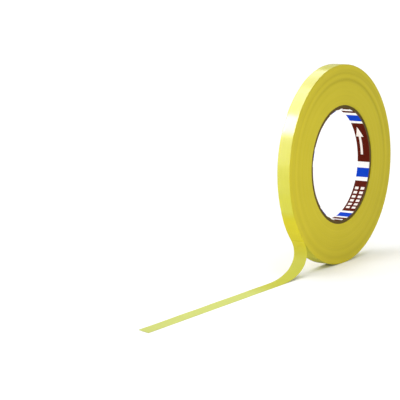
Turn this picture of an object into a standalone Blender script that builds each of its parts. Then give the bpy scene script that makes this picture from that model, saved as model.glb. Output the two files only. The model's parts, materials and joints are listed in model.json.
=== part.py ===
"""A narrow roll of glossy yellow film tape, standing on edge with its free tail laid out.

The tape is wound on a spiral-wound paperboard core with a printed paper liner. The roll's axis is
along X. The tail leaves the roll low on its -Y side, bends down to the floor and runs along -Y with
its sticky side down. The floor is z = 0, and the origin is the bottom centre of the whole part.
All sizes are in metres.
"""

import math

import bpy
from mathutils import Vector

# The wound tape
TAPE_WIDTH = 0.010
ROLL_RADIUS = 0.0685
INNER_TURNS_RADIUS = 0.0583
TOP_LAP_THICKNESS = 0.0003
TURNS_GAP = 0.0003

# The core: a paper liner and three board plies, each a spiral-wound strip with a butt seam
BORE_RADIUS = 0.0381
CORE_WIDTH = 0.0090
LINER_THICKNESS = 0.0003
PLY_THICKNESS = 0.0005
PLY_GAP = 0.00025
SEAM_GAP = 0.0003
SEAM_LEAN = math.radians(60)
LINER_SEAM_ANGLE = math.radians(200)
SEAM_SPACING = math.radians(83)

# The free tail, as reaches from the roll's axis along -Y
FILM_THICKNESS = 0.0003
TAIL_GAP = 0.0003
PEEL_ANGLE = math.radians(40)
LEAD_ANGLE = math.radians(7)
PEEL_HANDLE = 0.0155
LANDING_HANDLE = 0.0305
LANDING_REACH = 0.082
HEEL_REACH = 0.085
TIP_HINGE_REACH = 0.157
TAIL_REACH = 0.2309
TAIL_END_SLANT = 0.0037

# Facets
ROUND_SEGMENTS = 96
LEAD_SEGMENTS = 2
BEND_SEGMENTS = 28
SHARP_ANGLE = math.radians(40)

# Cutters for the seams
CUTTER_LENGTH = 0.04
CUTTER_DEPTH = 0.008

ROLL_Y = (TAIL_REACH - ROLL_RADIUS) / 2


def remove_everything():
    for obj in list(bpy.data.objects):
        bpy.data.objects.remove(obj, do_unlink=True)


def linear(red, green, blue):
    """Turn an 8-bit sRGB colour into the linear values that a shader takes."""
    values = []
    for value in (red, green, blue):
        share = value / 255
        values.append(share / 12.92 if share <= 0.04045 else ((share + 0.055) / 1.055) ** 2.4)
    return (*values, 1.0)


def make_material(name, colour, roughness):
    material = bpy.data.materials.new(name)
    material.use_nodes = True
    shader = material.node_tree.nodes["Principled BSDF"]
    shader.inputs["Base Color"].default_value = colour
    shader.inputs["Roughness"].default_value = roughness
    shader.inputs["Metallic"].default_value = 0.0
    material.diffuse_color = colour
    return material


def make_pivot(name, y, z):
    """Make an empty on a joint's axis, which is parallel to X."""
    pivot = bpy.data.objects.new(name, None)
    pivot.empty_display_size = 0.01
    pivot.location = (0, y, z)
    bpy.context.collection.objects.link(pivot)
    return pivot


def make_object(name, points, faces, material, pivot):
    """Make a smooth-shaded mesh object whose points are measured from its pivot."""
    mesh = bpy.data.meshes.new(name)
    mesh.from_pydata(points, [], faces)
    mesh.shade_smooth()
    mesh.set_sharp_from_angle(angle=SHARP_ANGLE)
    mesh.materials.append(material)
    obj = bpy.data.objects.new(name, mesh)
    obj.parent = pivot
    bpy.context.collection.objects.link(obj)
    return obj


def loop_faces(start, after, corners=4):
    """Join one section's corners to the next section's, as quads facing out."""
    faces = []
    for corner in range(corners):
        following = (corner + 1) % corners
        faces.append((start + corner, start + following, after + following, after + corner))
    return faces


def make_ring(name, inner, outer, width, material, pivot):
    """Make a ring about X. Its radii run to the middle of its flats, and one flat is lowest."""
    step = 2 * math.pi / ROUND_SEGMENTS
    to_corner = 1 / math.cos(step / 2)
    section = ((-width / 2, inner), (width / 2, inner), (width / 2, outer), (-width / 2, outer))
    points = []
    faces = []
    for index in range(ROUND_SEGMENTS):
        angle = (index + 0.5) * step
        for x, radius in section:
            corner = radius * to_corner
            points.append((x, corner * math.cos(angle), corner * math.sin(angle)))
        faces += loop_faces(4 * index, 4 * ((index + 1) % ROUND_SEGMENTS))
    return make_object(name, points, faces, material, pivot)


def cut_seam(ring, angle, radius, lean):
    """Cut the gap where a wound strip's two edges meet, leaning away from the roll's axis."""
    halves = (CUTTER_LENGTH / 2, SEAM_GAP / 2, CUTTER_DEPTH / 2)
    points = [(x, y, z) for x in (-halves[0], halves[0]) for y in (-halves[1], halves[1])
              for z in (-halves[2], halves[2])]
    faces = [(0, 1, 3, 2), (4, 6, 7, 5), (0, 4, 5, 1), (2, 3, 7, 6), (0, 2, 6, 4), (1, 5, 7, 3)]
    mesh = bpy.data.meshes.new(ring.name + "_seam")
    mesh.from_pydata(points, [], faces)
    cutter = bpy.data.objects.new(ring.name + "_seam", mesh)
    cutter.parent = ring.parent
    cutter.location = (0, radius * math.cos(angle), radius * math.sin(angle))
    # The plate leans about its own depth first, and then turns round the roll to its place.
    cutter.rotation_mode = "ZYX"
    cutter.rotation_euler = (angle - math.pi / 2, 0, lean)
    cutter.hide_render = True
    cutter.display_type = "WIRE"
    bpy.context.collection.objects.link(cutter)

    modifier = ring.modifiers.new("seam", "BOOLEAN")
    modifier.operation = "DIFFERENCE"
    modifier.solver = "EXACT"
    modifier.object = cutter


def make_core(paper, board, pivot):
    """Make the liner and the board plies from the bore outwards, and return the core's radius."""
    plies = (
        ("core_liner", LINER_THICKNESS, paper),
        ("core_inner_ply", PLY_THICKNESS, board),
        ("core_middle_ply", PLY_THICKNESS, board),
        ("core_outer_ply", PLY_THICKNESS, board),
    )
    inner = BORE_RADIUS
    for index, (name, thickness, material) in enumerate(plies):
        outer = inner + thickness
        ring = make_ring(name, inner, outer, CORE_WIDTH, material, pivot)
        cut_seam(ring, LINER_SEAM_ANGLE + index * SEAM_SPACING, outer, SEAM_LEAN)
        inner = outer + PLY_GAP
    return inner


def make_turns(inner, film, pivot):
    """Make the wound turns in two groups, and the top lap that ends where the tail leaves."""
    lap_inner = ROLL_RADIUS - TOP_LAP_THICKNESS
    make_ring("tape_inner_turns", inner, INNER_TURNS_RADIUS, TAPE_WIDTH, film, pivot)
    make_ring("tape_outer_turns", INNER_TURNS_RADIUS + TURNS_GAP, lap_inner - TURNS_GAP,
              TAPE_WIDTH, film, pivot)
    top_lap = make_ring("tape_top_lap", lap_inner, ROLL_RADIUS, TAPE_WIDTH, film, pivot)
    cut_seam(top_lap, math.pi + PEEL_ANGLE, ROLL_RADIUS, 0)


def curve_point(start, start_handle, end_handle, end, share):
    """Return a point on a cubic Bezier curve."""
    rest = 1 - share
    return (rest ** 3 * start + 3 * rest ** 2 * share * start_handle
            + 3 * rest * share ** 2 * end_handle + share ** 3 * end)


def tail_root_line():
    """Return the middle line of the tail's bend as (y, z): a lead on the roll, then the way down."""
    axis = Vector((ROLL_Y, ROLL_RADIUS))
    radius = ROLL_RADIUS + TAIL_GAP + FILM_THICKNESS / 2
    line = []
    for index in range(LEAD_SEGMENTS):
        angle = PEEL_ANGLE - LEAD_ANGLE * (1 - index / LEAD_SEGMENTS)
        line.append(axis - radius * Vector((math.cos(angle), math.sin(angle))))
    peel = axis - radius * Vector((math.cos(PEEL_ANGLE), math.sin(PEEL_ANGLE)))
    peel_handle = peel + PEEL_HANDLE * Vector((math.sin(PEEL_ANGLE), -math.cos(PEEL_ANGLE)))
    landing = Vector((ROLL_Y - LANDING_REACH, FILM_THICKNESS / 2))
    landing_handle = landing + Vector((LANDING_HANDLE, 0))
    for index in range(BEND_SEGMENTS + 1):
        line.append(curve_point(peel, peel_handle, landing_handle, landing, index / BEND_SEGMENTS))
    line.append(Vector((ROLL_Y - HEEL_REACH + TAIL_GAP / 2, FILM_THICKNESS / 2)))
    return line


def flat_line(near_reach, far_reach):
    """Return the middle line of a flat piece of tail between two hinges."""
    near = Vector((ROLL_Y - near_reach - TAIL_GAP / 2, FILM_THICKNESS / 2))
    far = Vector((ROLL_Y - far_reach, FILM_THICKNESS / 2))
    return [near, far]


def make_strip(name, line, material, pivot, slant=0.0):
    """Make a piece of film of even thickness along a (y, z) middle line.

    The slant is how much shorter the film's -X edge is than its +X edge at the far end.
    """
    half_width = TAPE_WIDTH / 2
    points = []
    faces = []
    for index, middle in enumerate(line):
        before = line[max(index - 1, 0)]
        after = line[min(index + 1, len(line) - 1)]
        along = (after - before).normalized()
        upper = middle + FILM_THICKNESS / 2 * Vector((along.y, -along.x))
        lower = middle - FILM_THICKNESS / 2 * Vector((along.y, -along.x))
        shortening = slant if index == len(line) - 1 else 0.0
        for x, place in ((-half_width, lower), (half_width, lower), (half_width, upper),
                         (-half_width, upper)):
            back = shortening if x < 0 else 0.0
            points.append((x, place.x + back - pivot.location.y, place.y - pivot.location.z))
        if index:
            faces += loop_faces(4 * (index - 1), 4 * index)
    last = 4 * (len(line) - 1)
    faces.append((3, 2, 1, 0))
    faces.append((last, last + 1, last + 2, last + 3))
    return make_object(name, points, faces, material, pivot)


def make_tail(film):
    """Make the tail in three pieces that fold at the heel and near the tip."""
    mid_film = FILM_THICKNESS / 2
    heel = make_pivot("heel_pivot", ROLL_Y - HEEL_REACH, mid_film)
    tip_hinge = make_pivot("tip_pivot", ROLL_Y - TIP_HINGE_REACH, mid_film)
    make_strip("tail_root", tail_root_line(), film, heel)
    make_strip("tail_run", flat_line(HEEL_REACH, TIP_HINGE_REACH - TAIL_GAP / 2), film, heel)
    make_strip("tail_tip", flat_line(TIP_HINGE_REACH, TAIL_REACH), film, tip_hinge, TAIL_END_SLANT)


def main():
    remove_everything()
    film = make_material("yellow_film", linear(222, 212, 78), 0.22)
    board = make_material("brown_board", linear(112, 88, 58), 0.85)
    paper = make_material("liner_paper", linear(238, 234, 226), 0.55)
    roll_axis = make_pivot("roll_axis", ROLL_Y, ROLL_RADIUS)
    core_radius = make_core(paper, board, roll_axis)
    make_turns(core_radius, film, roll_axis)
    make_tail(film)


main()
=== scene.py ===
import json
import math

import bpy
from mathutils import Matrix, Vector


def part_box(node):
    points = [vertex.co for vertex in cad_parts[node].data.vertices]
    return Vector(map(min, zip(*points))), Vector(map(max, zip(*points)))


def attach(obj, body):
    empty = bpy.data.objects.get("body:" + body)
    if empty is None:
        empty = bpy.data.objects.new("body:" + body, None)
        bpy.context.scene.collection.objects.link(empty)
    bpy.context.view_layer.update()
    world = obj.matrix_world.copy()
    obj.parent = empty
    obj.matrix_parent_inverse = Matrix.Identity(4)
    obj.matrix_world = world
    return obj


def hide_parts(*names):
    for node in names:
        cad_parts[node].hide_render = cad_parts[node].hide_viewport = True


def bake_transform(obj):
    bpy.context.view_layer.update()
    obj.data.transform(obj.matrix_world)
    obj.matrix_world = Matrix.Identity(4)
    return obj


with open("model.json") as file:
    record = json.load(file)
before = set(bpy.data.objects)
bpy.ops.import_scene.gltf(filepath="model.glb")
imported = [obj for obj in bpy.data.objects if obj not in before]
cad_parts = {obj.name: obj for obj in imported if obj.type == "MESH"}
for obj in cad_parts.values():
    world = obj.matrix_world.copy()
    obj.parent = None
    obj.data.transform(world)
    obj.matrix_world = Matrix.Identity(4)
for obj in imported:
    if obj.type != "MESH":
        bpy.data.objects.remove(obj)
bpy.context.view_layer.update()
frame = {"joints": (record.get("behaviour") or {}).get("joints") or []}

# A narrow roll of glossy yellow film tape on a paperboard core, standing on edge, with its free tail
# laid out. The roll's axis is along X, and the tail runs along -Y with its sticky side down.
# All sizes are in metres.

MM = 0.001


# ---------------------------------------------------------------------------
# Sizes and places
# ---------------------------------------------------------------------------

def radius_of(node):
    """Return the outer radius of a ring-shaped CAD node about the roll's axis."""
    low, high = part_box(node)
    return (high.z - low.z) / 2


def centre_of(node):
    """Return the middle of a CAD node's box."""
    low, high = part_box(node)
    return (low + high) / 2


def half_width_of(node):
    """Return half of a CAD node's width along the roll's axis."""
    low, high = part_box(node)
    return (high.x - low.x) / 2


# The roll's axis, sizes and hinges, as the frame has them
AXIS = centre_of("tape_top_lap")
ROLL_RADIUS = radius_of("tape_top_lap")
HALF_WIDTH = half_width_of("tape_top_lap")
CORE_HALF_WIDTH = half_width_of("core_liner")
GROOVE_RADIUS = radius_of("tape_inner_turns")
LINER_OUTER = radius_of("core_liner")
CORE_OUTER = radius_of("core_outer_ply")
JOINTS = {joint["name"]: Vector(joint["pos_m"]) for joint in frame["joints"]}
TAIL_END_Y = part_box("tail_tip")[0].y

# Rings: their facets, the gap between two of them, and the angle from which an edge is sharp
RING_SEGMENTS = 240
RING_GAP = 0.02 * MM
SHARP_ANGLE = math.radians(35)

# The wound film, and the spacing of the points on its sides along the radius
FILM_THICKNESS = 0.14 * MM
GROOVE_WIDTH = 0.03 * MM
LAP_ROUNDING = 0.03 * MM
INNER_TURNS_SPACING = 0.35 * MM
OUTER_TURNS_SPACING = 0.3 * MM

# The core: its plies, their butt seams, and how far its middle lies towards -X
BOARD_PLIES = ("core_inner_ply", "core_middle_ply", "core_outer_ply")
LINER_THICKNESS = 0.3 * MM
CORE_TO_TAPE = 0.08 * MM
CORE_SHIFT = 0.2 * MM
CORE_ROUNDING = 0.05 * MM
CORE_COLUMNS = 16
PLY_SETBACK = 0.04 * MM
SEAM_LEAN = math.tan(math.radians(60))
SEAM_GAP = 0.15 * MM
LINER_SEAM_ANGLE = math.radians(200)
SEAM_SPACING = math.radians(83)

# Relief on the roll's sides, which stand back so that no ring passes the tape's width
SIDE_SETBACK = 0.06 * MM
RIM_WIDTH = 1.6 * MM
RIM_DROP = 0.30 * MM
# Fine rings: wavelength along the radius, height, and phase
SIDE_WAVES = (
    (4.3 * MM, 0.010 * MM, 2.1),
    (2.3 * MM, 0.008 * MM, 4.4),
    (1.3 * MM, 0.005 * MM, 1.0),
)
WAVE_WANDER = 0.5
# Turns that stand back or out a little, where the winding's tension changed:
# radius, half width, height, and the turn about the axis where they show most, in degrees
# The turns that stand back are also painted a deeper yellow on the edges: painted shade, most at that
# turn
SIDE_STEPS = (
    (GROOVE_RADIUS - 0.2 * MM, 1.1 * MM, -0.06 * MM, 65),
    (GROOVE_RADIUS + 2.2 * MM, 1.0 * MM, 0.05 * MM, 60),
    (GROOVE_RADIUS + 4.3 * MM, 0.8 * MM, -0.03 * MM, 90),
    (GROOVE_RADIUS + 6.5 * MM, 0.9 * MM, -0.03 * MM, 20),
    (GROOVE_RADIUS + 5.2 * MM, 1.2 * MM, -0.03 * MM, 265),
)
DEEPEST_STEP = -min(height for _, _, height, _ in SIDE_STEPS)
STEP_WANDER = 0.3 * MM
STEP_WANDER_PHASE = 2.0

# The tail's line: a lead on the roll, which starts at a share of the film's thickness, a bend with
# part.py's angle and handles, and a flat run with slight waves
PEEL_ANGLE = math.radians(40)
LEAD_ANGLE = math.radians(20)
LEAD_START_SHARE = 0.1
LEAD_STEPS = 16
PEEL_HANDLE = 15.5 * MM
LANDING_HANDLE = 30.5 * MM
LANDING_REACH = 82 * MM
BEND_STEPS = 48
FLOOR_GAP = 0.03 * MM
FLAT_STEP = 0.8 * MM
FLAT_WAVE_HEIGHT = 0.05 * MM
FLAT_WAVE_LENGTH = 41 * MM
FLAT_WAVE_FADE = 10 * MM

# The tail's columns across its width, and its slanted cut end
TAIL_COLUMNS = 6
END_SLANT = 3.7 * MM
SLANT_LENGTH = 12 * MM

# Reaches along the tail at which the film's width and looks change, from the start of its lead
LEAD_LENGTH = LEAD_ANGLE * ROLL_RADIUS
LEAD_FADE = 9 * MM
LEAD_FADE_START = -0.4 * LEAD_FADE
DULL_START = LEAD_LENGTH - 6 * MM
DULL_END = LEAD_LENGTH + 20 * MM
BEND_START = LEAD_LENGTH + 22 * MM
BEND_END = LEAD_LENGTH + 50 * MM
FLAT_START = LEAD_LENGTH + 85 * MM

# Camera
CAMERA_TARGET = Vector((-0.0756, 0.0255, 0.0466))
CAMERA_DISTANCE = 1.3721
CAMERA_AZIMUTH = math.radians(34.49)
CAMERA_ELEVATION = math.radians(9.90)
CAMERA_ROLL = math.radians(-1.51)
CAMERA_LENS = 180.2
CAMERA_SENSOR = 36

# The floor's half width, and the world's strength below and above a soft step in height
FLOOR_REACH = 20.0
WORLD_LOW = 0.12
WORLD_HIGH = 0.62
WORLD_STEP_START = -0.35
WORLD_STEP_END = 0.12

# The top light and the fill beside the roll
TOP_DIRECTION = Vector((-0.15, -0.2, 1.0))
TOP_SPREAD = math.radians(70)
TOP_STRENGTH = 1.7
FILL_OFFSET = Vector((0.13, -0.17, 0.0))
FILL_SIZE = (0.1, 0.1)
FILL_RADIANCE = 2.4

# Strip lights: name, the heights on the tread between which they are mirrored, in degrees,
# width, distance from the tread, and radiance
STRIPS = (
    ("strip_1", -22, -9, 0.06, 0.30, 1.6),
    ("strip_2", -9, 8, 0.06, 0.30, 2.8),
    ("strip_3", 8, 26, 0.06, 0.30, 5.6),
    ("strip_4", 26, 38, 0.09, 0.30, 27.0),
    ("strip_5", 39, 58, 0.09, 0.34, 5.6),
    ("strip_6", 58, 78, 0.09, 0.38, 3.3),
)


# ---------------------------------------------------------------------------
# Colours, textures and print
# ---------------------------------------------------------------------------

def linear(red, green, blue):
    """Turn an 8-bit sRGB colour into the linear values that a shader takes."""
    values = []
    for value in (red, green, blue):
        share = value / 255
        values.append(share / 12.92 if share <= 0.04045 else ((share + 0.055) / 1.055) ** 2.4)
    return (*values, 1.0)


# The wound film's face, its lead, the bend and the flat tail; the lead holds painted light, the bend
# painted shade
FILM_DEEP = (0.575, 0.55, 0.021, 1.0)
FILM_PALE = (0.645, 0.62, 0.042, 1.0)
# The lead is the face's own film, painted lighter and warmer: painted light
LEAD_PAINTED_LIGHT_DEEP = (0.685, 0.60, 0.019, 1.0)
LEAD_PAINTED_LIGHT_PALE = (0.75, 0.66, 0.034, 1.0)
# The bend is painted a darker yellow: painted shade
BEND_PAINTED_SHADE = (0.51, 0.51, 0.016, 1.0)
# The flat tail is paler: partly a single layer's lighter tint, partly painted light from the white floor
# seen through it
TAIL_DEEP = (0.54, 0.58, 0.105, 1.0)
TAIL_PALE = (0.60, 0.645, 0.140, 1.0)
# The wound film's cut edges, with a deeper yellow painted as shade on the turns that stand back
EDGE_DEEP = (0.525, 0.44, 0.014, 1.0)
EDGE_YELLOW = (0.63, 0.53, 0.025, 1.0)
EDGE_PAINTED_SHADE = (0.47, 0.39, 0.012, 1.0)
# The core and its print
BOARD = linear(112, 93, 46)
BOARD_DARK = linear(76, 61, 28)
PAPER = linear(253, 252, 249)
PAPER_FIBRE = linear(205, 198, 184)
BLUE_INK = (0.0008, 0.052, 0.56, 1.0)
MAROON_INK = (0.105, 0.0075, 0.0015, 1.0)
LIGHT_INK = linear(250, 240, 232)
# The room
FLOOR_DARK = linear(251, 251, 251)
FLOOR_LIGHT = linear(254, 254, 254)
WHITE = (1.0, 1.0, 1.0, 1.0)

# How fine the film's streaks are: per metre across it, per radian round the roll, and per metre along
# the tail. Then the scale of its clouds, its index of refraction, and how much rougher it is once off.
STREAKS_ACROSS = 1400.0
WOUND_STREAKS = 3.0
TAIL_STREAKS = 40.0
FILM_CLOUDS = 90.0
FILM_IOR = 1.48
FILM_DULLING = 0.52

# How fine the rings in the cut edges are, per metre along the radius, and how much they change round
# the roll. A step's band of painted shade, a deeper colour, reaches out to so many times its half width.
FINE_RINGS = 2600.0
BROAD_RINGS = 520.0
RING_CHANGE = 0.5
BAND_SPREAD = 1.7

# Printed bars on the liner: start, end and ink, in degrees round half of the bore. The print repeats
# each half turn.
PRINT_REPEAT = 180.0
PRINT_START = -90.0
BARS = (
    (0.6, 6.4, MAROON_INK),
    (10.2, 19.3, BLUE_INK),
    (23.2, 63.8, MAROON_INK),
    (68.0, 77.5, BLUE_INK),
    (84.2, 129.8, MAROON_INK),
    (133.4, 144.8, BLUE_INK),
    (150.2, 156.0, MAROON_INK),
    (163.0, 176.0, MAROON_INK),
)

# A plain arrow on the longer maroon bar: its x, and its parts by degrees round the bore.
# Its head narrows by so much for each degree.
ARROW_X = -1.4 * MM
SHAFT_MIDDLE = 102.5
SHAFT_HALF_LENGTH = 10.5
SHAFT_HALF_WIDTH = 0.9 * MM
HEAD_START = 112.0
HEAD_HALF_WIDTH = 2.9 * MM
HEAD_NARROWING = 0.23 * MM

# Two rows of plain dashes on the shorter maroon bar: their x, and their pitch, length and span in
# degrees
DASHES_X = 0.2 * MM
ROW_OFFSET = 2.3 * MM
ROW_HALF_WIDTH = 1.4 * MM
DASH_PITCH = 5.2
DASH_MIDDLE = 3.6
DASH_HALF_LENGTH = 1.5
DASHES_MIDDLE = 42.6
DASHES_HALF_SPAN = 15.0


# ---------------------------------------------------------------------------
# Materials
# ---------------------------------------------------------------------------

class Nodes:
    """Adds nodes to a tree. What is fed to a node is a number, a colour or another node's socket."""

    def __init__(self, tree):
        self.tree = tree

    def add(self, kind, inputs=(), **settings):
        """Add a node, change its settings, and feed its inputs by name or number."""
        node = self.tree.nodes.new(kind)
        for setting, value in settings.items():
            setattr(node, setting, value)
        for socket, value in dict(inputs).items():
            self.feed(node.inputs[socket], value)
        return node

    def feed(self, socket, value):
        """Link another node's socket to a socket, or set a constant on it."""
        if isinstance(value, bpy.types.NodeSocket):
            self.tree.links.new(value, socket)
        else:
            socket.default_value = value

    def maths(self, operation, *values):
        return self.add("ShaderNodeMath", dict(enumerate(values)), operation=operation).outputs[0]

    def times(self, first, second):
        return self.maths("MULTIPLY", first, second)

    def distance(self, first, second):
        """Return how far apart two numbers are."""
        return self.maths("ABSOLUTE", self.maths("SUBTRACT", first, second))

    def weighted(self, *pairs):
        """Add up (value, weight) pairs, each value times its weight."""
        total = 0.0
        for value, weight in pairs:
            total = self.maths("ADD", total, self.times(value, weight))
        return total

    def vector(self, x, y, z):
        return self.add("ShaderNodeCombineXYZ", {"X": x, "Y": y, "Z": z}).outputs[0]

    def noise(self, vector, scale, detail=2.0, roughness=0.5):
        inputs = {"Vector": vector, "Scale": scale, "Detail": detail, "Roughness": roughness}
        return self.add("ShaderNodeTexNoise", inputs).outputs["Fac"]

    def between(self, value, low, high):
        """Spread a value from 0 to 1 between two limits."""
        inputs = {"From Min": 0.0, "From Max": 1.0, "To Min": low, "To Max": high, "Value": value}
        return self.add("ShaderNodeMapRange", inputs).outputs[0]

    def contrast(self, value, gain):
        """Stretch a value from 0 to 1 about its middle."""
        return self.between(value, 0.5 - gain / 2, 0.5 + gain / 2)

    def ramp(self, value, start, end):
        """Rise smoothly from 0 to 1 as a value goes from start to end."""
        inputs = {"Value": value, "From Min": start, "From Max": end}
        return self.add("ShaderNodeMapRange", inputs, interpolation_type="SMOOTHSTEP").outputs[0]

    def mix(self, share, first, second):
        """Mix two colours."""
        node = self.add("ShaderNodeMix", data_type="RGBA")
        self.feed(node.inputs["Factor"], share)
        self.feed(node.inputs[6], first)
        self.feed(node.inputs[7], second)
        return node.outputs[2]

    def bump(self, height, strength, distance):
        inputs = {"Height": height, "Strength": strength, "Distance": distance}
        return self.add("ShaderNodeBump", inputs).outputs[0]


class Surface(Nodes):
    """Builds a material on a point's place: its place on its piece, or the one that a layer holds."""

    def __init__(self, name, plain, layer=None):
        self.material = bpy.data.materials.new(name)
        self.material.use_nodes = True
        super().__init__(self.material.node_tree)
        self.shade(plain)
        if layer:
            self.place = self.add("ShaderNodeAttribute", attribute_name=layer).outputs["Vector"]
        else:
            self.place = self.add("ShaderNodeTexCoord").outputs["Object"]

    def shade(self, looks):
        """Feed the shader's sockets, by name, and return the material."""
        shader = self.tree.nodes["Principled BSDF"]
        for socket, value in looks.items():
            self.feed(shader.inputs[socket], value)
        return self.material

    def split_place(self):
        return self.add("ShaderNodeSeparateXYZ", {0: self.place}).outputs

    def roll_place(self):
        """Return x, radius and turn about the roll's axis, for a piece whose origin is on it."""
        x, y, z = self.split_place()
        radius = self.maths("SQRT", self.maths("ADD", self.times(y, y), self.times(z, z)))
        turn = self.maths("ARCTAN2", z, y)
        return x, radius, turn


def film_tone(surface, x, along):
    """Return the film's streaks along its length, its clouds, and how pale the two make it."""
    across = surface.times(x, STREAKS_ACROSS)
    streaks = surface.noise(surface.vector(across, along, 0.0), scale=1.0, detail=3.0)
    clouds = surface.noise(surface.place, FILM_CLOUDS)
    pale = surface.contrast(surface.weighted((streaks, 0.5), (clouds, 0.5)), 1.6)
    return streaks, clouds, pale


def tread_material():
    """Glossy wound film, seen from outside: smooth, with faint streaks along the winding."""
    surface = Surface("film_tread", {"Specular IOR Level": 0.5, "IOR": FILM_IOR})
    x, _, turn = surface.roll_place()
    streaks, clouds, pale = film_tone(surface, x, surface.times(turn, WOUND_STREAKS))
    ripple = surface.noise(surface.place, scale=140.0, detail=1.0)
    height = surface.weighted((streaks, 0.25), (ripple, 1.0))
    return surface.shade({
        "Base Color": surface.mix(pale, FILM_DEEP, FILM_PALE),
        "Roughness": surface.between(clouds, 0.16, 0.26),
        "Normal": surface.bump(height, strength=0.25, distance=0.2 * MM),
    })


def painted_shade_bands(surface, radius, turn):
    """Return the share of painted shade, a deeper yellow: soft bands on the turns that stand back.

    A band shows most at its own turn about the axis, and a quarter as much on the half that faces away.
    """
    drift = surface.maths("SINE", surface.maths("ADD", turn, STEP_WANDER_PHASE))
    radius = surface.maths("SUBTRACT", radius, surface.times(drift, STEP_WANDER))
    bands = []
    for middle, half_width, step, shows in SIDE_STEPS:
        if step < 0:
            band = surface.ramp(surface.distance(radius, middle), BAND_SPREAD * half_width, 0.0)
            facing = surface.maths("COSINE", surface.maths("SUBTRACT", turn, math.radians(shows)))
            shown = surface.maths("POWER", surface.between(facing, 0.5, 1.0), 2.0)
            bands.append((surface.times(band, shown), -step / DEEPEST_STEP))
    return surface.weighted(*bands)


def winding_noise(surface, radius, turn, rings):
    """Return noise in rings about the roll's axis, which change a little on the way round."""
    across = surface.times(radius, rings)
    change_y = surface.times(surface.maths("COSINE", turn), RING_CHANGE)
    change_z = surface.times(surface.maths("SINE", turn), RING_CHANGE)
    return surface.noise(surface.vector(across, change_y, change_z), scale=1.0)


def side_material():
    """The cut edges of the wound film: satin, with fine rings that follow the winding, and painted shade,
    a deeper yellow, on the turns that stand back.
    """
    surface = Surface("film_edges", {"Specular IOR Level": 0.2, "IOR": FILM_IOR})
    _, radius, turn = surface.roll_place()
    fine = winding_noise(surface, radius, turn, FINE_RINGS)
    broad = winding_noise(surface, radius, turn, BROAD_RINGS)
    clouds = surface.noise(surface.place, scale=45.0, detail=3.0)
    tone = surface.weighted((fine, 0.4), (broad, 0.4), (clouds, 0.2))
    plain = surface.mix(surface.contrast(tone, 2.0), EDGE_DEEP, EDGE_YELLOW)
    return surface.shade({
        # Painted shade: a deeper yellow on the turns that stand back
        "Base Color": surface.mix(painted_shade_bands(surface, radius, turn), plain, EDGE_PAINTED_SHADE),
        "Roughness": surface.between(fine, 0.42, 0.58),
        "Normal": surface.bump(fine, strength=0.35, distance=0.06 * MM),
    })


def tail_material():
    """A single layer of the film: it lets some of the floor through, and is duller once off the roll. Its
    lead is painted lighter as painted light, its bend a darker yellow as painted shade, and its flat part
    paler, partly as painted light from the white floor seen through it.
    """
    plain = {"Specular IOR Level": 0.5, "Alpha": 0.95, "IOR": FILM_IOR}
    surface = Surface("film_tail", plain, layer="film_place")
    x, reach, _ = surface.split_place()
    _, clouds, pale = film_tone(surface, x, surface.times(reach, TAIL_STREAKS))
    on_lap = surface.mix(pale, FILM_DEEP, FILM_PALE)
    # Painted light: on the roll the lead turns lighter and warmer than the same film on the face
    lead_painted_light = surface.mix(surface.ramp(reach, LEAD_FADE_START, LEAD_FADE), on_lap,
                          surface.mix(pale, LEAD_PAINTED_LIGHT_DEEP, LEAD_PAINTED_LIGHT_PALE))
    # Painted shade: the film darkens to a deeper yellow through the bend
    painted_lead_and_bend = surface.mix(surface.ramp(reach, LEAD_LENGTH, BEND_START), lead_painted_light, BEND_PAINTED_SHADE)
    # The flat tail's paler colour is partly painted light from the white floor seen through the film
    colour = surface.mix(surface.ramp(reach, BEND_END, FLAT_START), painted_lead_and_bend,
                         surface.mix(pale, TAIL_DEEP, TAIL_PALE))
    dull = surface.ramp(reach, DULL_START, DULL_END)
    gloss = surface.between(clouds, 0.14, 0.24)
    return surface.shade({
        "Base Color": colour,
        "Roughness": surface.weighted((gloss, 1.0), (dull, FILM_DULLING)),
        "Normal": surface.bump(clouds, strength=0.2, distance=0.2 * MM),
    })


def board_material():
    """Brown core board, cut across: matte and fibrous."""
    surface = Surface("core_board", {"Specular IOR Level": 0.25})
    fibres = surface.noise(surface.place, scale=2200.0, detail=4.0, roughness=0.65)
    clouds = surface.noise(surface.place, scale=260.0, detail=3.0)
    tone = surface.weighted((fibres, 0.6), (clouds, 0.4))
    return surface.shade({
        "Base Color": surface.mix(surface.contrast(tone, 1.8), BOARD_DARK, BOARD),
        "Roughness": surface.between(clouds, 0.8, 0.95),
        "Normal": surface.bump(fibres, strength=0.5, distance=0.1 * MM),
    })


def print_ramp(surface, place):
    """Lay the bars out as a ramp of hard steps, over one repeat of the print."""
    share = surface.maths("DIVIDE", place, PRINT_REPEAT)
    ramp = surface.add("ShaderNodeValToRGB", {"Fac": share})
    ramp.color_ramp.interpolation = "CONSTANT"
    stops = ramp.color_ramp.elements
    stops[0].position = 0.0
    stops[0].color = PAPER
    stops.remove(stops[1])
    for start, end, ink in BARS:
        stops.new(start / PRINT_REPEAT).color = ink
        stops.new(end / PRINT_REPEAT).color = PAPER
    return ramp.outputs["Color"]


def arrow_mark(surface, x, place):
    """Mark a plain arrow, which shows the way the tape comes off."""
    aside = surface.distance(x, ARROW_X)
    shaft = surface.times(surface.maths("COMPARE", place, SHAFT_MIDDLE, SHAFT_HALF_LENGTH),
                          surface.maths("LESS_THAN", aside, SHAFT_HALF_WIDTH))
    narrowing = surface.times(surface.maths("SUBTRACT", place, HEAD_START), HEAD_NARROWING)
    in_head = surface.maths("LESS_THAN", surface.maths("ADD", aside, narrowing), HEAD_HALF_WIDTH)
    head = surface.times(in_head, surface.maths("GREATER_THAN", place, HEAD_START))
    return surface.maths("MAXIMUM", shaft, head)


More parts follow.
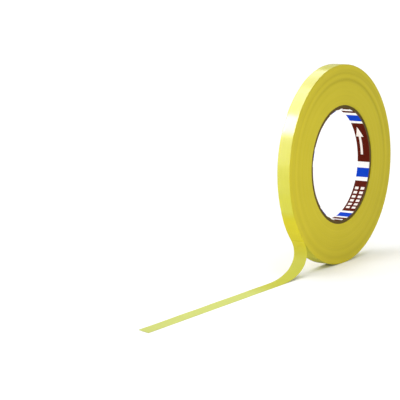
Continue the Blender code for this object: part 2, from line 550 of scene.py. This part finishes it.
def dash_marks(surface, x, place):
    """Mark two rows of plain dashes."""
    aside = surface.distance(x, DASHES_X)
    in_row = surface.maths("COMPARE", aside, ROW_OFFSET, ROW_HALF_WIDTH)
    along = surface.maths("MODULO", place, DASH_PITCH)
    in_dash = surface.maths("COMPARE", along, DASH_MIDDLE, DASH_HALF_LENGTH)
    in_span = surface.maths("COMPARE", place, DASHES_MIDDLE, DASHES_HALF_SPAN)
    return surface.times(in_row, surface.times(in_dash, in_span))


def liner_material():
    """Smooth white paper, printed with bars and plain marks."""
    surface = Surface("printed_liner", {"Specular IOR Level": 0.02})
    x, _, turn = surface.roll_place()
    degrees = surface.maths("SUBTRACT", surface.maths("DEGREES", turn), PRINT_START)
    place = surface.maths("FLOORED_MODULO", degrees, PRINT_REPEAT)
    marks = surface.maths("MAXIMUM", arrow_mark(surface, x, place), dash_marks(surface, x, place))
    printed = surface.mix(marks, print_ramp(surface, place), LIGHT_INK)
    grain = surface.noise(surface.place, scale=1500.0, detail=3.0, roughness=0.6)
    return surface.shade({
        "Base Color": surface.mix(surface.between(grain, -0.03, 0.04), printed, PAPER_FIBRE),
        "Roughness": surface.between(grain, 0.5, 0.65),
        "Normal": surface.bump(grain, strength=0.15, distance=0.05 * MM),
    })


def floor_material():
    """Plain white floor."""
    surface = Surface("floor", {"Roughness": 0.7, "Specular IOR Level": 0.2})
    tone = surface.noise(surface.place, scale=3.0)
    return surface.shade({"Base Color": surface.mix(tone, FLOOR_DARK, FLOOR_LIGHT)})


# ---------------------------------------------------------------------------
# Rings about the roll's axis
# ---------------------------------------------------------------------------

def new_piece(name, points, faces, material, location=(0, 0, 0)):
    """Make a mesh object of one material, smooth but for its sharp edges."""
    mesh = bpy.data.meshes.new(name)
    mesh.from_pydata(points, [], faces)
    mesh.materials.append(material)
    mesh.shade_smooth()
    mesh.set_sharp_from_angle(angle=SHARP_ANGLE)
    piece = bpy.data.objects.new(name, mesh)
    piece.location = location
    bpy.context.scene.collection.objects.link(piece)
    return piece


def loop_faces(start, after, corners):
    """Join one section's corners to the next section's, as quads facing out."""
    faces = []
    for corner in range(corners):
        following = (corner + 1) % corners
        faces.append((start + corner, start + following, after + following, after + corner))
    return faces


def turned(name, section_at, material, seam=None):
    """Turn a closed section about the roll's axis.

    section_at(turn) gives the section's (x, radius) corners, anticlockwise, at a turn about the axis.
    A seam is the turn at which the ring is open, and the opening leans across the width as a
    spiral-wound strip's does.
    """
    is_open = seam is not None
    gap = SEAM_GAP / CORE_OUTER if is_open else 0.0
    sections = RING_SEGMENTS + 1 if is_open else RING_SEGMENTS
    corners = len(section_at(0.0))
    points = []
    faces = []
    for index in range(sections):
        turn = index * (2 * math.pi - gap) / RING_SEGMENTS
        for x, radius in section_at(turn):
            angle = turn
            if is_open:
                angle += seam + gap / 2 + SEAM_LEAN * x / radius
            points.append((x, radius * math.cos(angle), radius * math.sin(angle)))
    for index in range(RING_SEGMENTS):
        faces += loop_faces(corners * index, corners * ((index + 1) % sections), corners)
    if is_open:
        last = corners * RING_SEGMENTS
        faces.append(tuple(reversed(range(corners))))
        faces.append(tuple(range(last, last + corners)))
    return new_piece(name, points, faces, material, AXIS)


def declare_ring(piece, node):
    """Make a ring turn with the roll, and hide the CAD node that it stands for."""
    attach(piece, "roll")
    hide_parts(node)


def soft_box(half_width, inner, outer, rounding, columns=1):
    """A rectangle section with its four corners cut back a little, and columns across its width."""
    reach = half_width - rounding
    across = [reach * (2 * column / columns - 1) for column in range(columns + 1)]
    section = [(x, inner) for x in across]
    section += [(half_width, inner + rounding), (half_width, outer - rounding)]
    section += [(x, outer) for x in reversed(across)]
    section += [(-half_width, outer - rounding), (-half_width, inner + rounding)]
    return section


def side_relief(radius, turn, side):
    """How far a side's wound edge stands out at a radius and a turn, at most 0."""
    height = -SIDE_SETBACK
    for length, wave, phase in SIDE_WAVES:
        wander = WAVE_WANDER * math.sin(turn + phase * side)
        height += wave * math.sin(2 * math.pi * radius / length + phase * side + wander)
    for middle, half_width, step, shows in SIDE_STEPS:
        middle += STEP_WANDER * math.sin(turn + STEP_WANDER_PHASE)
        share = 0.5 + 0.5 * math.cos(turn - math.radians(shows))
        height += step * share ** 2 * math.exp(-((radius - middle) / half_width) ** 2)
    into_rim = max(0.0, 1 - (ROLL_RADIUS - radius) / RIM_WIDTH)
    return height - (RIM_DROP - SIDE_SETBACK) * into_rim ** 2


def tape_ring(name, inner, outer, spacing, side):
    """Make a group of wound turns, with rings in relief on both sides."""
    count = max(2, round((outer - inner) / spacing))
    radii = [inner + (outer - inner) * index / count for index in range(count + 1)]

    def section_at(turn):
        right = [(HALF_WIDTH + side_relief(radius, turn, 1), radius) for radius in radii]
        left = [(-HALF_WIDTH - side_relief(radius, turn, -1), radius) for radius in reversed(radii)]
        return right + left

    return turned(name, section_at, side)


def make_tape(tread, side):
    """Make the wound turns in two groups, and the top lap over them."""
    lap_outer = ROLL_RADIUS - RING_GAP
    lap_inner = lap_outer - FILM_THICKNESS
    inner = tape_ring("wound_inner_turns", CORE_OUTER + CORE_TO_TAPE, GROOVE_RADIUS,
                      INNER_TURNS_SPACING, side)
    declare_ring(inner, "tape_inner_turns")
    outer = tape_ring("wound_outer_turns", GROOVE_RADIUS + GROOVE_WIDTH, lap_inner - RING_GAP,
                      OUTER_TURNS_SPACING, side)
    declare_ring(outer, "tape_outer_turns")
    section = soft_box(HALF_WIDTH - RIM_DROP, lap_inner, lap_outer, LAP_ROUNDING)
    lap = turned("film_top_lap", lambda turn: section, tread)
    declare_ring(lap, "tape_top_lap")


def make_ply(name, inner, outer, half_width, material, seam):
    """Make one ply of the core, which ends nearer to the tape's -X side than to its +X side."""
    section = [(x - CORE_SHIFT, radius) for x, radius
               in soft_box(half_width + CORE_SHIFT, inner, outer, CORE_ROUNDING, CORE_COLUMNS)]
    return turned(name, lambda turn: section, material, seam)


def make_core(board, liner):
    """Make the printed liner and the board plies, each with its slanted butt seam."""
    board_thickness = (CORE_OUTER - LINER_OUTER) / len(BOARD_PLIES) - RING_GAP
    plies = [("core_liner", LINER_THICKNESS, liner, "liner_paper")]
    plies += [(node, board_thickness, board, "board") for node in BOARD_PLIES]
    inner = LINER_OUTER - LINER_THICKNESS
    for index, (node, thickness, material, slot) in enumerate(plies):
        outer = inner + thickness
        half_width = CORE_HALF_WIDTH - PLY_SETBACK * (index % 2)
        seam = LINER_SEAM_ANGLE + index * SEAM_SPACING
        piece = make_ply(node.replace("core", "wound"), inner, outer, half_width, material, seam)
        declare_ring(piece, node)
        inner = outer + RING_GAP


# ---------------------------------------------------------------------------
# The tail
# ---------------------------------------------------------------------------

def bezier(start, start_handle, end_handle, end, share):
    """Return a point on a cubic Bezier curve."""
    rest = 1 - share
    return (rest ** 3 * start + 3 * rest ** 2 * share * start_handle
            + 3 * rest * share ** 2 * end_handle + share ** 3 * end)


def place_on_lap(angle):
    """Return the (y, z) place just outside the top lap, at an angle below the axis on the tail's side."""
    outwards = -Vector((math.cos(angle), math.sin(angle)))
    return Vector((AXIS.y, AXIS.z)) + (ROLL_RADIUS - RING_GAP / 2) * outwards


def tail_line():
    """Return the sticky side's line from the lead on the roll to the cut end.

    Each point of it is its (y, z) place and the film's thickness there.
    """
    line = []
    for index in range(LEAD_STEPS):
        share = index / LEAD_STEPS
        angle = PEEL_ANGLE - LEAD_ANGLE * (1 - share)
        thickness = FILM_THICKNESS * (LEAD_START_SHARE + (1 - LEAD_START_SHARE) * share)
        line.append((place_on_lap(angle), thickness))
    peel = place_on_lap(PEEL_ANGLE)
    peel_handle = peel + PEEL_HANDLE * Vector((math.sin(PEEL_ANGLE), -math.cos(PEEL_ANGLE)))
    landing = Vector((AXIS.y - LANDING_REACH, FLOOR_GAP))
    landing_handle = landing + Vector((LANDING_HANDLE, 0))
    for index in range(BEND_STEPS):
        place = bezier(peel, peel_handle, landing_handle, landing, index / BEND_STEPS)
        line.append((place, FILM_THICKNESS))
    flat = landing.x - TAIL_END_Y
    flat_steps = round(flat / FLAT_STEP)
    for index in range(flat_steps + 1):
        reach = flat * index / flat_steps
        wave = FLAT_WAVE_HEIGHT * (1 - math.cos(2 * math.pi * reach / FLAT_WAVE_LENGTH))
        lift = wave * min(1.0, reach / FLAT_WAVE_FADE)
        line.append((Vector((landing.x - reach, FLOOR_GAP + lift)), FILM_THICKNESS))
    return line


def length_of(line):
    """Return the length of a line of (place, thickness) points."""
    places = [place for place, _ in line]
    return sum((after - before).length for before, after in zip(places, places[1:]))


def strip_faces(sections):
    """Return the faces of a strip of film of so many sections: those round it, and its two ends."""
    corners = 2 * (TAIL_COLUMNS + 1)
    last = corners * (sections - 1)
    faces = []
    for index in range(sections - 1):
        faces += loop_faces(corners * index, corners * (index + 1), corners)
    for column in range(TAIL_COLUMNS):
        quad = (column, column + 1, corners - 2 - column, corners - 1 - column)
        faces.append(tuple(reversed(quad)))
        faces.append(tuple(last + corner for corner in quad))
    return faces


def film_strip(name, line, reach, material):
    """Make a closed strip of film from its sticky side's line, which starts at a reach along the tail.

    Each point keeps how far across and along the film it is, for the material to follow.
    """
    points = []
    places = []
    for index, (place, thickness) in enumerate(line):
        before = line[max(index - 1, 0)][0]
        after = line[min(index + 1, len(line) - 1)][0]
        if index:
            reach += (place - before).length
        along = (after - before).normalized()
        upper = place + thickness * Vector((along.y, -along.x))
        half_width = HALF_WIDTH - RIM_DROP * max(0.0, 1 - reach / LEAD_FADE)
        across = [half_width * (2 * column / TAIL_COLUMNS - 1) for column in range(TAIL_COLUMNS + 1)]
        slant = END_SLANT * max(0.0, 1 - (place.x - TAIL_END_Y) / SLANT_LENGTH)
        for x, section in [(x, place) for x in across] + [(x, upper) for x in reversed(across)]:
            points.append((x, section.x + slant * (0.5 - x / (2 * HALF_WIDTH)), section.y))
            places += (x, reach, 0.0)
    piece = new_piece(name, points, strip_faces(len(line)), material)
    layer = piece.data.attributes.new("film_place", "FLOAT_VECTOR", "POINT")
    layer.data.foreach_set("vector", places)
    return piece


def make_tail(material):
    """Make the tail in two strips, split halfway between the tail's two hinges."""
    line = tail_line()
    heel = JOINTS["tail_lift"]
    tip_hinge = JOINTS["tip_lift"]
    split = next(index for index, (place, _) in enumerate(line) if place.x < (heel.y + tip_hinge.y) / 2)
    near_line = line[:split + 1]
    far_line = line[split:]
    near = film_strip("film_tail_near", near_line, 0.0, material)
    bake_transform(near)
    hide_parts("tail_root", "tail_run")
    far = film_strip("film_tail_far", far_line, length_of(near_line), material)
    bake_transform(far)
    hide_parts("tail_tip")


# ---------------------------------------------------------------------------
# Camera, floor and light
# ---------------------------------------------------------------------------

def view_direction():
    """Return the direction from the camera's target to the camera."""
    return Vector((math.sin(CAMERA_AZIMUTH) * math.cos(CAMERA_ELEVATION),
                   -math.cos(CAMERA_AZIMUTH) * math.cos(CAMERA_ELEVATION),
                   math.sin(CAMERA_ELEVATION)))


def add_to_scene(name, data, rotation, place=(0, 0, 0)):
    """Put a camera or a light in the scene, and return its object."""
    added = bpy.data.objects.new(name, data)
    added.rotation_mode = "QUATERNION"
    added.rotation_quaternion = rotation
    added.location = place
    bpy.context.scene.collection.objects.link(added)
    return added


def make_camera():
    """Place the camera at its viewing angle, with a slight roll."""
    back = view_direction()
    data = bpy.data.cameras.new("camera")
    data.lens = CAMERA_LENS
    data.sensor_width = CAMERA_SENSOR
    level = (-back).to_track_quat("-Z", "Y")
    rotation = level @ Matrix.Rotation(CAMERA_ROLL, 3, "Z").to_quaternion()
    place = CAMERA_TARGET + CAMERA_DISTANCE * back
    bpy.context.scene.camera = add_to_scene("camera", data, rotation, place)


def make_floor():
    """Lay a plain floor, which the glossy film doesn't mirror."""
    corners = [(-FLOOR_REACH, -FLOOR_REACH, 0), (FLOOR_REACH, -FLOOR_REACH, 0),
               (FLOOR_REACH, FLOOR_REACH, 0), (-FLOOR_REACH, FLOOR_REACH, 0)]
    floor = new_piece("floor", corners, [(0, 1, 2, 3)], floor_material())
    floor.visible_glossy = False


def add_area_light(name, place, away, upright, size, radiance, gloss_only=False):
    """Hang a rectangular light whose back points away, with one side along upright."""
    away = away.normalized()
    side = upright.cross(away).normalized()
    data = bpy.data.lights.new(name, "AREA")
    data.shape = "RECTANGLE"
    data.size, data.size_y = size
    data.energy = radiance * math.pi * size[0] * size[1]
    axes = Matrix((side, away.cross(side), away)).transposed()
    light = add_to_scene(name, data, axes.to_quaternion(), place)
    light.visible_camera = False
    light.visible_diffuse = not gloss_only


def mirrored(height, distance):
    """Return the place which the camera sees mirrored in the front of the tread, at a height.

    The height is an angle about the axis: 0 is level with it, and 90 degrees is the top.
    """
    normal = Vector((0, -math.cos(height), math.sin(height)))
    view = view_direction()
    return AXIS + ROLL_RADIUS * normal + distance * (2 * normal.dot(view) * normal - view)


def add_strip_light(name, low, high, width, distance, radiance):
    """Hang a strip light which the tread mirrors between two heights, given in degrees."""
    low = math.radians(low)
    high = math.radians(high)
    start = mirrored(low, distance)
    end = mirrored(high, distance)
    middle = (start + end) / 2
    away = middle - mirrored((low + high) / 2, 0.0)
    size = (width, (end - start).length)
    add_area_light(name, middle, away, end - start, size, radiance, gloss_only=True)


def make_world():
    """Light the room softly, more from above than from below, and show it to the camera as white."""
    world = bpy.data.worlds.new("studio")
    world.use_nodes = True
    nodes = Nodes(world.node_tree)
    direction = nodes.add("ShaderNodeTexCoord").outputs["Generated"]
    height = nodes.add("ShaderNodeSeparateXYZ", {0: direction}).outputs["Z"]
    step = nodes.ramp(height, WORLD_STEP_START, WORLD_STEP_END)
    seen = nodes.add("ShaderNodeLightPath").outputs["Is Camera Ray"]
    strength = nodes.maths("MAXIMUM", nodes.between(step, WORLD_LOW, WORLD_HIGH), seen)
    background = world.node_tree.nodes["Background"]
    nodes.feed(background.inputs["Color"], WHITE)
    nodes.feed(background.inputs["Strength"], strength)
    bpy.context.scene.world = world


def make_lights():
    """Hang a wide top light, the strips that the tread mirrors, and a fill beside the roll."""
    top = bpy.data.lights.new("top", "SUN")
    top.angle = TOP_SPREAD
    top.energy = TOP_STRENGTH
    add_to_scene("top", top, TOP_DIRECTION.to_track_quat("Z", "Y"))
    for name, low, high, width, distance, radiance in STRIPS:
        add_strip_light(name, low, high, width, distance, radiance)
    up = Vector((0, 0, 1))
    add_area_light("fill", AXIS + FILL_OFFSET, FILL_OFFSET, up, FILL_SIZE, FILL_RADIANCE)


bpy.context.scene.view_settings.view_transform = "Standard"
make_camera()
make_floor()
make_world()
make_lights()
make_tape(tread_material(), side_material())
make_core(board_material(), liner_material())
make_tail(tail_material())
